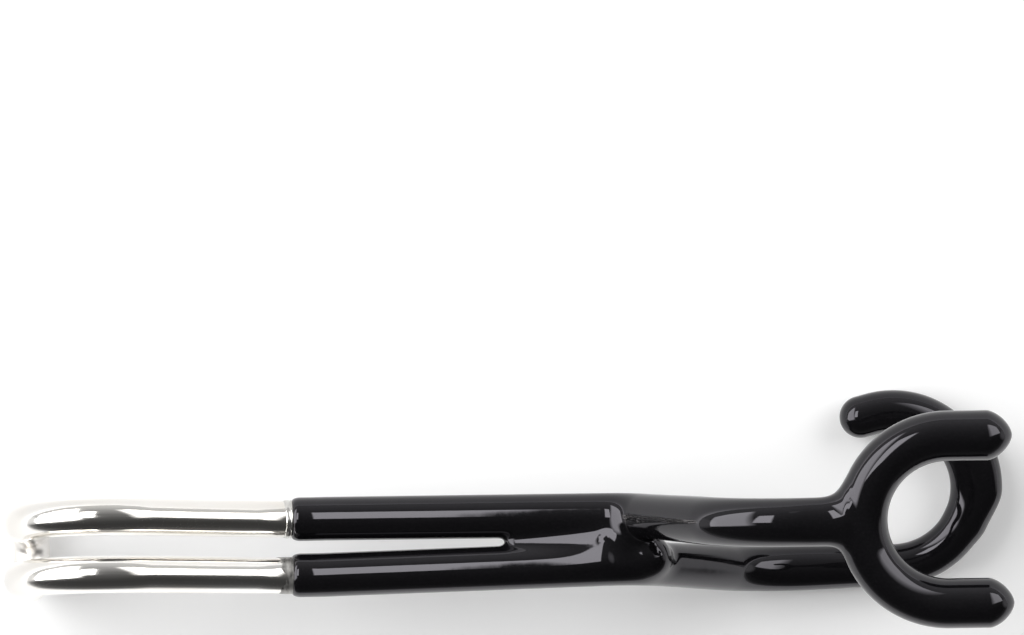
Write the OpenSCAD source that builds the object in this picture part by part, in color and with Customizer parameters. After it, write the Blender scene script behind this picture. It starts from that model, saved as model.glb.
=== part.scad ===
// Two-jaw rod holder with a load hook, lying on a bench.
//
// One steel rod is bent into a hook, two legs, two arms and a curled jaw. A short C of the
// same rod stands across the end of the other arm as a fork jaw. The jaws and the legs are
// dipped in vinyl. Millimetres; +Z is up from the bench, +X runs from the hook to the jaws,
// and the origin is on the bench below the centre of the curled jaw.

/* [Rod] */
// Diameter of the bare rod
rod_d = 6.35; // [5.5:0.05:7]

/* [Hook] */
// Distance between the centres of the two hook wires
wire_gap = 9.8; // [9.4:0.1:12]
// Straight length from the U-bend at the tip to the crest
tip_feed = 13.5; // [8:0.5:20]
// Bend over the crest of the hook, in degrees
crest_angle = 117; // [105:0.5:125]
// Centreline radius of the crest
crest_r = 15.4; // [12:0.1:20]
// Straight length between the crest and the heel
shank_feed = 20; // [14:0.5:26]
// Bend at the heel, where the hook meets the legs, in degrees
heel_angle = 37.5; // [32:0.5:42]
// Centreline radius of the heel
heel_r = 19; // [15:0.5:26]

/* [Legs] */
// Straight length of the leg that ends in the curled jaw
leg_feed = 48; // [40:0.5:56]
// Extra length of the other leg, before the fork's arm starts
fork_leg_extra = 1.2; // [0:0.1:3]
// Angle by which each leg leans towards the other, in degrees
leg_pinch = 0.8; // [0.5:0.1:1]

/* [Arm of the curled jaw] */
// Bend from the leg into the arm, in degrees
curl_arm_angle = 53; // [48:0.5:56]
// Centreline radius of that bend
curl_arm_r = 12; // [9:0.5:14]
// Straight length of the arm
curl_arm_feed = 18; // [16:0.5:24]
// Bend back towards the jaw, in degrees
curl_wrist_angle = 48.5; // [44:0.5:50]
// Centreline radius of the bend back
curl_wrist_r = 16.5; // [13:0.5:19]
// Turn of the arm about its leg, in degrees
curl_arm_twist = -1.5; // [-4:0.5:2]

/* [Arm of the fork jaw] */
// Bend from the leg into the arm, in degrees
fork_arm_angle = 48; // [45:0.5:51]
// Centreline radius of that bend
fork_arm_r = 9.5; // [8.5:0.5:14]
// Straight length of the arm
fork_arm_feed = 17.5; // [15:0.5:22]
// Bend back towards the jaw, in degrees
fork_wrist_angle = 50.5; // [47:0.5:53]
// Centreline radius of the bend back
fork_wrist_r = 18; // [13:0.5:20]
// Turn of the arm about its leg, in degrees
fork_arm_twist = 8; // [5:0.5:10]

/* [Jaws] */
// Centreline radius of the curl and of the fork
jaw_r = 14; // [12:0.1:17]
// Straight length from the arm to the curl
curl_feed = 17.5; // [15:0.5:22]
// Turn of the curl, in degrees
curl_angle = 194; // [182:1:200]
// Straight end of the curl
curl_end_feed = 3.1; // [1.5:0.1:5]
// Turn of the curl's plane about its arm, in degrees
curl_roll = 18.5; // [12:0.5:20]
// Straight length from the arm to the middle of the fork's own rod
fork_feed = 12; // [11:0.5:16]
// Straight length of each prong past the fork's half circle
prong_feed = 7.7; // [4:0.1:10]
// Turn of the fork's plane about its arm, in degrees
fork_roll = 6.5; // [2:0.5:8]

/* [Vinyl skin] */
// Thickness on the legs
leg_skin = 0.65; // [0.5:0.05:0.8]
// Thickness on the arms
arm_skin = 0.85; // [0.6:0.05:1]
// Thickness on the fork
fork_skin = 0.95; // [0.7:0.05:1.1]
// Thickness on the curl
curl_skin = 0.55; // [0.5:0.05:0.8]
// How far the skin runs from the leg up the heel bend
heel_skin = 5.2; // [4:0.1:7]
// Length of the slot that the web between the legs leaves open
slot_len = 30.8; // [25:1:38]
// Thickness of the web
web_t = 4.6; // [3:0.1:5.5]
// How far the run of vinyl at the front of the curl stands proud
run_bulge = 1.8; // [0.6:0.1:2]
// Turn of the curl at which that run hangs, in degrees
run_at = 99; // [80:1:110]
// Thickness of the skin on the neck behind the fork, over the weld
neck_skin = 0.75; // [0.5:0.05:0.9]
// Radius of the fillet where the neck meets the fork
neck_fillet = 2.2; // [1:0.1:3]

/* [Welds and primer] */
// Length of the chamfered end of the fork's arm
chamfer_len = 3.6; // [2.5:0.1:4.5]
// Radius of that end's face
chamfer_r = 1.9; // [1.5:0.1:2.3]
// Radius of the weld around the chamfered end
weld_r = 2.8; // [2.6:0.05:3]
// Length of the tack weld between the arms, just ahead of the crotch
tack_len = 4.6; // [3.8:0.2:4.8]
// Radius of the tack weld
tack_r = 2.2; // [1.8:0.1:2.4]
// Width of the primer band that shows at each end of the skin
primer_w = 2.4; // [1:0.1:4]
// Thickness of the primer
primer_t = 0.08; // [0.05:0.01:0.15]

/* [Hidden] */
$fn = 64;

rod_r = rod_d / 2;
leg_out = rod_r + leg_skin;
arm_out = rod_r + arm_skin;
fork_out = rod_r + fork_skin;
curl_out = rod_r + curl_skin;
// Radius of the slight bend that leans each leg inwards
pinch_r = 60;
// Distance of the skin's round end from the face of the rod's end
end_inset = 1.2;
// How deep the fork's rod is let into the face of the arm's end
cope_depth = 0.4;
// How far ahead of the crotch the tack weld and the saddle over it have their middle
saddle_ahead = 4;
// How far the primer runs on under the skin
primer_under = 0.8;
// Seam between one step of a wire and the next, and the thin collar that closes it
seam_gap = 0.1;
collar_len = 0.5;
collar_rise = 0.02;

// ---- Bending: a step is [feed, roll, bend angle, bend radius] ----
// The rod points along +Z, rolls about it and then bends towards +X.

function shift(v) = [[1, 0, 0, v.x], [0, 1, 0, v.y], [0, 0, 1, v.z], [0, 0, 0, 1]];
function turn_x(a) = [[1, 0, 0, 0], [0, cos(a), -sin(a), 0], [0, sin(a), cos(a), 0], [0, 0, 0, 1]];
function turn_y(a) = [[cos(a), 0, sin(a), 0], [0, 1, 0, 0], [-sin(a), 0, cos(a), 0], [0, 0, 0, 1]];
function turn_z(a) = [[cos(a), -sin(a), 0, 0], [sin(a), cos(a), 0, 0], [0, 0, 1, 0], [0, 0, 0, 1]];
function feed_of(s) = s[0];
function roll_of(s) = s[1];
function angle_of(s) = s[2];
function bend_r_of(s) = s[3];
function step_move(s) = shift([0, 0, feed_of(s)]) * turn_z(roll_of(s))
    * shift([bend_r_of(s), 0, 0]) * turn_y(angle_of(s)) * shift([-bend_r_of(s), 0, 0]);
// Frame after the first n steps
function frame_after(start, steps, n) = n == 0 ? start
    : frame_after(start, steps, n - 1) * step_move(steps[n - 1]);
function place(frame) = [frame[0][3], frame[1][3], frame[2][3]];
function unit(v) = v / norm(v);
function same(value, count) = [for (i = [1:count]) value];
function arc_degrees(length, r) = length / r * 180 / PI;

// ---- The two half wires, from the middle of the U-bend at the hook's tip ----
// The curl's half runs on the -Y side, the fork's on the +Y side.

CURL = -1;
FORK = 1;
skin_heel_angle = arc_degrees(heel_skin, heel_r);
primer_angle = arc_degrees(primer_w, heel_r);
// Number of steps up to the end of the heel, to the start of the leg and to the start of the jaw
HEEL_STEPS = 3;
LEG_STEPS = 4;
JAW_STEPS = 6;

function tip_frame(side) = turn_y(heel_angle - crest_angle) * turn_x(-90 * side);
function hook_steps(side) = [
    [0, 0, 90, wire_gap / 2],
    [tip_feed, 90 * side, crest_angle, crest_r],
    [shank_feed, 180, heel_angle, heel_r],
    [0, 90 * side, leg_pinch, pinch_r]
];
curl_steps = concat(hook_steps(CURL), [
    [leg_feed, -90 + curl_arm_twist, curl_arm_angle, curl_arm_r],
    [curl_arm_feed, 180, curl_wrist_angle, curl_wrist_r],
    [curl_feed, -90 + curl_roll, curl_angle, jaw_r]
]);
fork_steps = concat(hook_steps(FORK), [
    [leg_feed + fork_leg_extra, -90 + fork_arm_twist, fork_arm_angle, fork_arm_r],
    [fork_arm_feed, 180, fork_wrist_angle, fork_wrist_r]
]);
curl_start = tip_frame(CURL);
fork_start = tip_frame(FORK);
curl_end = frame_after(curl_start, curl_steps, len(curl_steps));
fork_arm_end = frame_after(fork_start, fork_steps, len(fork_steps));
// The fork stands across the end of its arm: +Z is the arm's heading, +X the fork's own axis
fork_frame = fork_arm_end * shift([0, 0, fork_feed]) * turn_z(fork_roll);
// Frame a given turn before the end of the heel
function before_leg(side, turn) = frame_after(tip_frame(side), hook_steps(side), HEEL_STEPS)
    * step_move([0, 0, -turn, heel_r]);

// Where the legs start and where the arms part, on the plane between the legs
leg_start = place(frame_after(curl_start, curl_steps, LEG_STEPS));
crotch = leg_start + [leg_feed, -leg_start.y, 0];

// ---- How it lies: on the hook's tip, the curled jaw's arm and the curled jaw's end ----

curl_frame = frame_after(curl_start, curl_steps, JAW_STEPS)
    * shift([0, 0, curl_feed]) * turn_z(-90 + curl_roll);
curl_centre = place(curl_frame * shift([jaw_r, 0, 0]));
arm_point = place(frame_after(curl_start, curl_steps, JAW_STEPS));
end_point = place(curl_end * shift([0, 0, curl_end_feed - end_inset]));
rough_up = unit(cross(arm_point, end_point));
tip_up = unit([sin(90 - crest_angle + heel_angle), 0, cos(90 - crest_angle + heel_angle)]);
tip_normal = cross(tip_up, [0, 1, 0]);
// Lowest point of the U-bend's centreline, level with the other two when all are on the bench
tip_point = wire_gap / 2 * (tip_up + unit((rough_up * tip_normal) * tip_normal - rough_up));
up = unit(cross(arm_point - tip_point - (arm_out - rod_r) * rough_up,
    end_point - tip_point - (curl_out - rod_r) * rough_up));
along = unit([1, 0, 0] - up.x * up);
across = cross(up, along);
rest = [
    [along.x, along.y, along.z, -along * curl_centre],
    [across.x, across.y, across.z, -across * curl_centre],
    [up.x, up.y, up.z, arm_out - up * arm_point],
    [0, 0, 0, 1]
];

// ---- Shapes along a wire ----

// An elbow from the origin that heads along +Z and bends towards +X; the child is its section
module elbow(angle, bend_r) {
    translate([bend_r, 0, 0]) rotate([90, 0, 180])
        rotate_extrude(angle = angle) translate([bend_r, 0]) children();
}

// A thin collar that closes the seam between two pieces of a wire
module collar(r) {
    cylinder(h = collar_len, r = r + collar_rise, center = true);
}

// One step, its straight length tapered from one radius to the other. Each piece stops just short
// of the next one, and a collar closes the seam.
module step_solid(s, r_from, r_to) {
    if (feed_of(s) > 0)
        cylinder(h = feed_of(s) - seam_gap, r1 = r_from, r2 = r_to);
    translate([0, 0, feed_of(s)]) rotate([0, 0, roll_of(s)]) {
        elbow(angle_of(s) - arc_degrees(seam_gap, bend_r_of(s)), bend_r_of(s)) circle(r_to);
        if (feed_of(s) > 0)
            collar(r_to);
    }
}

// A wire from its step number first to its end; radii lists one radius more than the steps
module wire_solid(start, steps, first, radii) {
    for (i = [first:len(steps) - 1]) {
        multmatrix(frame_after(start, steps, i))
            step_solid(steps[i], radii[i - first], radii[i - first + 1]);
        multmatrix(frame_after(start, steps, i + 1)) collar(radii[i - first + 1]);
    }
}

// A straight end with a round nose
module round_end(length, r) {
    cylinder(h = length - end_inset, r = r);
    translate([0, 0, length - end_inset]) sphere(r);
}

// ---- The rods ----

// Where the arm's chamfer starts and ends, measured along the fork's feed
chamfer_end = fork_feed - rod_r + cope_depth;
chamfer_start = chamfer_end - chamfer_len;

module curl_wire() {
    wire_solid(curl_start, curl_steps, 0, same(rod_r, len(curl_steps) + 1));
    multmatrix(curl_end) cylinder(h = curl_end_feed, r = rod_r);
}

module fork_wire() {
    wire_solid(fork_start, fork_steps, 0, same(rod_r, len(fork_steps) + 1));
    difference() {
        multmatrix(fork_arm_end) {
            cylinder(h = chamfer_start, r = rod_r);
            translate([0, 0, chamfer_start]) cylinder(h = chamfer_len, r1 = rod_r, r2 = chamfer_r);
        }
        fork_rod_solid();
    }
}

// The fork's half circle, with its children on the end of each prong
module fork_arc(r) {
    multmatrix(fork_frame) translate([0, 0, jaw_r]) {
        rotate([90, 0, 90]) rotate([0, 0, 180])
            rotate_extrude(angle = 180) translate([jaw_r, 0]) circle(r);
        for (side = [-1, 1])
            translate([0, side * jaw_r, 0]) children();
    }
}

module fork_rod_solid() {
    fork_arc(rod_r) cylinder(h = prong_feed, r = rod_r);
}

module rod_solids() {
    curl_wire();
    fork_wire();
    fork_rod_solid();
}

module hook_rod() {
    color("silver") multmatrix(rest) {
        curl_wire();
        fork_wire();
    }
}

module fork_jaw_rod() {
    color("silver") multmatrix(rest) fork_rod_solid();
}

// ---- Welds and primer ----

module fork_weld_solid() {
    difference() {
        multmatrix(fork_arm_end) translate([0, 0, chamfer_start])
            cylinder(h = fork_feed - chamfer_start, r = weld_r);
        fork_wire();
        fork_rod_solid();
    }
}

module leg_weld_solid() {
    difference() {
        translate([crotch.x + saddle_ahead - tack_len / 2, 0, crotch.z]) rotate([0, 90, 0])
            cylinder(h = tack_len, r = tack_r);
        curl_wire();
        fork_wire();
    }
}

// The stretch of the heel that carries primer; the child is its section
module primed_stretch(side) {
    multmatrix(before_leg(side, skin_heel_angle + primer_angle))
        elbow(primer_angle + arc_degrees(primer_under, heel_r), heel_r) children();
}

module fork_weld() {
    color("dimgray") multmatrix(rest) fork_weld_solid();
}

module leg_weld() {
    color("dimgray") multmatrix(rest) leg_weld_solid();
}

module primer_bands() {
    color("slategray") multmatrix(rest)
        for (side = [CURL, FORK])
            primed_stretch(side) difference() {
                circle(rod_r + primer_t);
                circle(rod_r);
            }
}

// ---- The vinyl skin ----

neck_out = weld_r + neck_skin;
// Where the neck is narrowest, and its radius inside the fork, just less than the fork's own
neck_step = 0.2;
neck_end_r = fork_out - neck_step;
neck_at = chamfer_start + (chamfer_len - neck_fillet) / 2;
// Share of a fillet's radius between its centre and the neck, so that it cuts a little into it
fillet_reach = 0.9;
web_start = leg_start.x + slot_len;
// The slot's round end is this much wider than the gap between the skinned legs there
slot_ease = 0.4;
slot_w = wire_gap - 2 * slot_len * sin(leg_pinch) - 2 * leg_out + slot_ease;
// The web ends this far ahead of the crotch, where a round saddle closes it over the tack weld
web_ahead = 2.4;
saddle_r = 3.6;
// The run of vinyl on the curl: a bead that follows the curl for this many degrees each way
bead_r = 2.4;
bead_spread = 12;
bead_path_r = jaw_r + curl_out + run_bulge - bead_r;

module heel_skin_solid(side) {
    multmatrix(before_leg(side, skin_heel_angle)) {
        rotate_extrude() translate([rod_r, 0]) circle(leg_skin - collar_rise);
        elbow(skin_heel_angle - arc_degrees(seam_gap, heel_r), heel_r) circle(leg_out);
    }
    multmatrix(before_leg(side, 0)) collar(leg_out);
}

module curl_skin() {
    wire_solid(curl_start, curl_steps, HEEL_STEPS, [leg_out, leg_out, leg_out, arm_out, curl_out]);
    multmatrix(curl_end) round_end(curl_end_feed, curl_out);
    multmatrix(curl_frame) translate([jaw_r, 0, 0]) rotate([90, 0, 180])
        rotate([0, 0, run_at - bead_spread]) curl_run();
}

// The bead as an arc about the curl's axis with round ends
module curl_run() {
    rotate_extrude(angle = 2 * bead_spread) translate([bead_path_r, 0]) circle(bead_r);
    for (turn = [0, 2 * bead_spread])
        rotate([0, 0, turn]) translate([bead_path_r, 0, 0]) sphere(bead_r + collar_rise);
}

module fork_skin_solid() {
    wire_solid(fork_start, fork_steps, HEEL_STEPS, [leg_out, leg_out, leg_out, arm_out]);
    multmatrix(fork_arm_end) {
        cylinder(h = neck_at, r1 = arm_out, r2 = neck_out);
        translate([0, 0, neck_at]) cylinder(h = fork_feed - neck_at, r1 = neck_out, r2 = neck_end_r);
    }
    fork_arc(fork_out) round_end(prong_feed, fork_out);
    multmatrix(fork_frame) rotate([90, 0, 90])
        linear_extrude(height = 2 * weld_r, center = true) neck_fillets();
}

// Plan of the web of vinyl between the neck and the fork's back, with a fillet on each side
module neck_fillets() {
    reach = fillet_reach * neck_fillet;
    centre_x = neck_out + reach;
    centre_y = jaw_r - sqrt(pow(jaw_r + fork_out + reach, 2) - pow(centre_x, 2));
    difference() {
        translate([-centre_x, centre_y]) square([2 * centre_x, -centre_y]);
        for (side = [-1, 1])
            translate([side * centre_x, centre_y]) circle(neck_fillet);
    }
}

// The web between the legs, from the slot's round end to the crotch
module leg_web() {
    difference() {
        translate([web_start, -wire_gap / 2 + leg_skin, crotch.z - web_t / 2])
            cube([crotch.x + web_ahead - web_start, wire_gap - 2 * leg_skin, web_t]);
        translate([web_start, 0, crotch.z - web_t]) cylinder(h = 2 * web_t, d = slot_w);
    }
    translate([crotch.x + saddle_ahead, 0, crotch.z]) sphere(saddle_r);
}

module vinyl_skin() {
    color("#17151a") multmatrix(rest) difference() {
        union() {
            curl_skin();
            fork_skin_solid();
            leg_web();
            for (side = [CURL, FORK])
                heel_skin_solid(side);
        }
        rod_solids();
        fork_weld_solid();
        leg_weld_solid();
        for (side = [CURL, FORK])
            primed_stretch(side) circle(rod_r + primer_t);
    }
}

hook_rod();
fork_jaw_rod();
fork_weld();
leg_weld();
primer_bands();
vinyl_skin();
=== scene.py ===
"""Looks for the two-jaw rod holder: bright rod, primer edges, dipped vinyl, studio and camera."""

import logging
import math
from dataclasses import dataclass, field
from enum import Enum
from typing import Sequence

import bpy
import numpy as np
from mathutils import Euler, Matrix, Vector


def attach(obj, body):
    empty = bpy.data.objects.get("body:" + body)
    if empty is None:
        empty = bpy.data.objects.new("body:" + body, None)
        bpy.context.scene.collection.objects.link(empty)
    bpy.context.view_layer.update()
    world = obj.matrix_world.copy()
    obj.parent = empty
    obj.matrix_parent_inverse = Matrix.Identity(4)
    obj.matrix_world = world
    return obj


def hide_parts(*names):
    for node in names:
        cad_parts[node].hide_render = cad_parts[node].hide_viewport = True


LOG = logging.getLogger("rod_holder")
MM = 0.001
IMAGE_W = 1024
IMAGE_H = 635

# Points in the photograph's lower view, which the main camera repeats.
IMAGE_POINTS = {
    "object_left": (4.5, 552.0),
    "object_right": (1014.5, 605.0),
    "object_top": (892.0, 390.5),
    "object_bottom": (955.0, 629.5),
    "fork_leg_lip": (291.5, 517.0),
    "curl_leg_lip": (291.0, 575.0),
    "slot_end": (502.0, 542.0),
    "crotch_lump": (650.0, 558.0),
    "curl_tip": (839.0, 418.0),
    "upper_prong_tip": (1011.0, 434.0),
    "lower_prong_tip": (1014.5, 605.0),
    "fork_inner_back": (887.5, 522.0),
    "vinyl_run": (1003.0, 482.0),
}

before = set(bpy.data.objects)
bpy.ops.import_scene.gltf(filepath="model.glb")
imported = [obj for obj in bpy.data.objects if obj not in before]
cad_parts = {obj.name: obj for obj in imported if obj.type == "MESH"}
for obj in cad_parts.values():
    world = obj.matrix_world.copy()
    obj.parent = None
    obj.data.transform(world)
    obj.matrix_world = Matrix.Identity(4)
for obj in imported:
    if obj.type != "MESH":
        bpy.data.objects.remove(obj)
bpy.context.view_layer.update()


class Wire(Enum):
    """The two halves of the bent rod, named after the jaw that each one carries."""

    CURL = -1
    FORK = 1


def shift(x: float, y: float, z: float) -> np.ndarray:
    """Return a 4 by 4 translation."""
    out = np.eye(4)
    out[:3, 3] = (x, y, z)
    return out


def turn(axis: str, degrees: float) -> np.ndarray:
    """Return a 4 by 4 rotation about one of the axes."""
    return np.array(Matrix.Rotation(math.radians(degrees), 4, axis.upper()))


def unit(v: Sequence[float]) -> np.ndarray:
    """Return the vector at length 1."""
    v = np.asarray(v, float)
    return v / np.linalg.norm(v)


def seen_from(at: np.ndarray, points: np.ndarray) -> np.ndarray:
    """Return points as they lie in a frame."""
    return (points - at[:3, 3]) @ at[:3, :3]


def in_metres(at: np.ndarray) -> Matrix:
    """Return a frame in millimetres as a matrix in metres."""
    out = Matrix(at.tolist())
    out.translation *= MM
    return out


def ease(t: np.ndarray) -> np.ndarray:
    """Return a share from 0 to 1, eased in and out."""
    return t * t * (3 - 2 * t)


def smooth_min(a: np.ndarray, b: np.ndarray, blend: np.ndarray | float) -> np.ndarray:
    """Return the lesser of two distances, with a fillet about as wide as blend."""
    h = np.maximum(blend - np.abs(a - b), 0) / blend
    return np.minimum(a, b) - h ** 3 * blend / 6


def rounded_box(qx: np.ndarray, qy: np.ndarray) -> np.ndarray:
    """Return the distance from a corner, given the distances past its two sides."""
    return np.hypot(np.maximum(qx, 0), np.maximum(qy, 0)) + np.minimum(np.maximum(qx, qy), 0)


@dataclass(frozen=True)
class Step:
    """One move of the bending machine, in millimetres and degrees."""

    feed: float
    roll: float
    angle: float
    radius: float

    def move(self) -> np.ndarray:
        """Return the frame that the step ends in, seen from the frame that it starts in."""
        bend = shift(self.radius, 0, 0) @ turn("y", self.angle) @ shift(-self.radius, 0, 0)
        return shift(0, 0, self.feed) @ turn("z", self.roll) @ bend


def walk(start: np.ndarray, steps: Sequence[Step]) -> list[np.ndarray]:
    """Return the frame before the first step and after each step."""
    frames = [start]
    for step in steps:
        frames.append(frames[-1] @ step.move())
    return frames


@dataclass(frozen=True)
class Arm:
    """The two bends and the straight that lead from a leg to its jaw."""

    twist: float
    out_angle: float
    out_r: float
    feed: float
    in_angle: float
    in_r: float


@dataclass(frozen=True)
class RodSizes:
    """The driving sizes of the part, in millimetres and degrees, as its source has them."""

    rod_r: float = 3.175
    wire_gap: float = 9.8
    tip_feed: float = 13.5
    crest_angle: float = 117.0
    crest_r: float = 15.4
    shank_feed: float = 20.0
    heel_angle: float = 37.5
    heel_r: float = 19.0
    leg_feed: float = 48.0
    fork_leg_extra: float = 1.2
    leg_pinch: float = 0.8
    pinch_r: float = 60.0
    curl_arm: Arm = Arm(-1.5, 53.0, 12.0, 18.0, 48.5, 16.5)
    fork_arm: Arm = Arm(8.0, 48.0, 9.5, 17.5, 50.5, 18.0)
    jaw_r: float = 14.0
    curl_feed: float = 17.5
    curl_angle: float = 194.0
    curl_end: float = 1.9
    end_inset: float = 1.2
    curl_roll: float = 18.5
    fork_feed: float = 12.0
    fork_roll: float = 6.5
    heel_skin: float = 5.2
    leg_out: float = 3.825
    arm_out: float = 4.025
    curl_out: float = 3.725
    fork_out: float = 4.125
    slot_len: float = 30.8

    def arm(self, wire: Wire) -> Arm:
        """Return the arm that this wire makes."""
        return self.curl_arm if wire is Wire.CURL else self.fork_arm

    def leg(self, wire: Wire) -> float:
        """Return the straight length of this wire's leg."""
        return self.leg_feed + (self.fork_leg_extra if wire is Wire.FORK else 0)

    def tip_frame(self, wire: Wire) -> np.ndarray:
        """Return the frame in the middle of the U-bend, heading into one half of the rod."""
        return turn("y", self.heel_angle - self.crest_angle) @ turn("x", -90 * wire.value)

    def hook_steps(self, wire: Wire) -> list[Step]:
        """Return the steps from the U-bend to the start of the leg."""
        return [
            Step(0, 0, 90, self.wire_gap / 2),
            Step(self.tip_feed, 90 * wire.value, self.crest_angle, self.crest_r),
            Step(self.shank_feed, 180, self.heel_angle, self.heel_r),
            Step(0, 90 * wire.value, self.leg_pinch, self.pinch_r),
        ]

    def arm_steps(self, wire: Wire) -> list[Step]:
        """Return the steps from the leg to the start of the jaw."""
        arm = self.arm(wire)
        return [Step(self.leg(wire), -90 + arm.twist, arm.out_angle, arm.out_r),
                Step(arm.feed, 180, arm.in_angle, arm.in_r)]

    def jaw_steps(self, wire: Wire) -> list[Step]:
        """Return the steps from the end of the arm to the end of that wire."""
        if wire is Wire.CURL:
            return [Step(self.curl_feed, -90 + self.curl_roll, self.curl_angle, self.jaw_r),
                    Step(self.curl_end, 0, 0, 0)]
        return [Step(self.fork_feed, 0, 0, 0)]

    def all_steps(self, wire: Wire) -> list[Step]:
        """Return the steps of one half of the rod from end to end."""
        return self.hook_steps(wire) + self.arm_steps(wire) + self.jaw_steps(wire)

    def leg_start(self, wire: Wire) -> np.ndarray:
        """Return the frame at the start of the leg, before the part is laid on the bench."""
        return walk(self.tip_frame(wire), self.hook_steps(wire))[-1]

    def arm_end(self, wire: Wire) -> np.ndarray:
        """Return the frame at the end of the arm, before the part is laid on the bench."""
        return walk(self.tip_frame(wire), self.hook_steps(wire) + self.arm_steps(wire))[-1]

    def before_leg(self, wire: Wire, length: float) -> np.ndarray:
        """Return the frame that lies a given length of rod before the end of the heel."""
        end = walk(self.tip_frame(wire), self.hook_steps(wire)[:-1])[-1]
        back = Step(0, 0, -math.degrees(length / self.heel_r), self.heel_r)
        return self.rest() @ end @ back.move()

    def heel_step(self, length: float) -> Step:
        """Return the last stretch of the heel bend as a step."""
        return Step(0, 0, math.degrees(length / self.heel_r), self.heel_r)

    def crotch(self) -> np.ndarray:
        """Return the frame midway between the legs where the arms part, +X along the legs."""
        leg = self.leg_start(Wire.CURL)[:3, 3]
        return self.rest() @ shift(leg[0] + self.leg_feed, 0, leg[2])

    def fork_frame(self) -> np.ndarray:
        """Return the frame in the middle of the fork's back: +Z ahead, +X its own axis."""
        return (self.rest() @ self.arm_end(Wire.FORK) @ shift(0, 0, self.fork_feed)
                @ turn("z", self.fork_roll))

    def flat_curl_frame(self) -> np.ndarray:
        """Return the frame at the start of the curl, before the part is laid on the bench."""
        return self.arm_end(Wire.CURL) @ shift(0, 0, self.curl_feed) @ turn("z", -90 + self.curl_roll)

    def curl_frame(self) -> np.ndarray:
        """Return the frame at the start of the curl, bending towards its +X."""
        return self.rest() @ self.flat_curl_frame()

    def rest(self) -> np.ndarray:
        """Return the move from the hook's own frame to the frame of the bench."""
        start = self.tip_frame(Wire.CURL)
        centre = (self.flat_curl_frame() @ shift(self.jaw_r, 0, 0))[:3, 3]
        arm_point = self.arm_end(Wire.CURL)[:3, 3]
        end_point = walk(start, self.all_steps(Wire.CURL))[-1][:3, 3]
        rough = unit(np.cross(arm_point, end_point))
        tip_up = start[:3, 0]
        normal = np.cross(tip_up, (0, 1, 0))
        tip = self.wire_gap / 2 * (tip_up + unit((rough @ normal) * normal - rough))
        up = unit(np.cross(arm_point - tip - (self.arm_out - self.rod_r) * rough,
                           end_point - tip - (self.curl_out - self.rod_r) * rough))
        along = unit(np.array((1.0, 0, 0)) - up[0] * up)
        across = np.cross(up, along)
        out = np.eye(4)
        out[:3, :3] = (along, across, up)
        out[:3, 3] = (-along @ centre, -across @ centre, self.arm_out - up @ arm_point)
        return out


@dataclass
class Radius:
    """A radius that changes along a wire: knots of (distance along, radius), eased in between."""

    knots: list

    def at(self, s: np.ndarray) -> np.ndarray:
        """Return the radius at each distance along the wire."""
        xs, rs = np.array(self.knots, float).T
        i = np.clip(np.searchsorted(xs, s) - 1, 0, len(xs) - 2)
        share = np.clip((s - xs[i]) / (xs[i + 1] - xs[i]), 0, 1)
        return rs[i] + (rs[i + 1] - rs[i]) * ease(share)


@dataclass(frozen=True)
class Stretch:
    """One straight or one arc of a centreline.

    Its size is its length, or its turn in radians if it has a radius. before is the length of the
    route ahead of it, and rolled is the roll of the section since the route's start.
    """

    start: np.ndarray
    size: float
    radius: float
    before: float
    rolled: float

    @property
    def length(self) -> float:
        """Return its length in millimetres."""
        return self.size * self.radius if self.radius else self.size

    def frame_at(self, s: float) -> np.ndarray:
        """Return the frame at a distance from its start."""
        if not self.radius:
            return self.start @ shift(0, 0, s)
        return self.start @ Step(0, 0, math.degrees(s / self.radius), self.radius).move()

    def nearest(self, points: np.ndarray) -> tuple[np.ndarray, np.ndarray]:
        """Find the place on the stretch that is nearest to each point.

        Args:
            points: An N by 3 array in millimetres.

        Returns:
            How far along the stretch the place is, and the point's offset from it in the frame there.
        """
        x, y, z = seen_from(self.start, points).T
        if not self.radius:
            s = np.clip(z, 0, self.size)
            return s, np.stack([x, y, z - s], axis=1)
        phi = np.arctan2(z, self.radius - x)
        phi = np.where(phi < (self.size - 2 * math.pi) / 2, phi + 2 * math.pi, phi)
        phi = np.clip(phi, 0, self.size)
        sin, cos = np.sin(phi), np.cos(phi)
        dx, dz = x - self.radius * (1 - cos), z - self.radius * sin
        return phi * self.radius, np.stack([dx * cos - dz * sin, y, dx * sin + dz * cos], axis=1)


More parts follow.
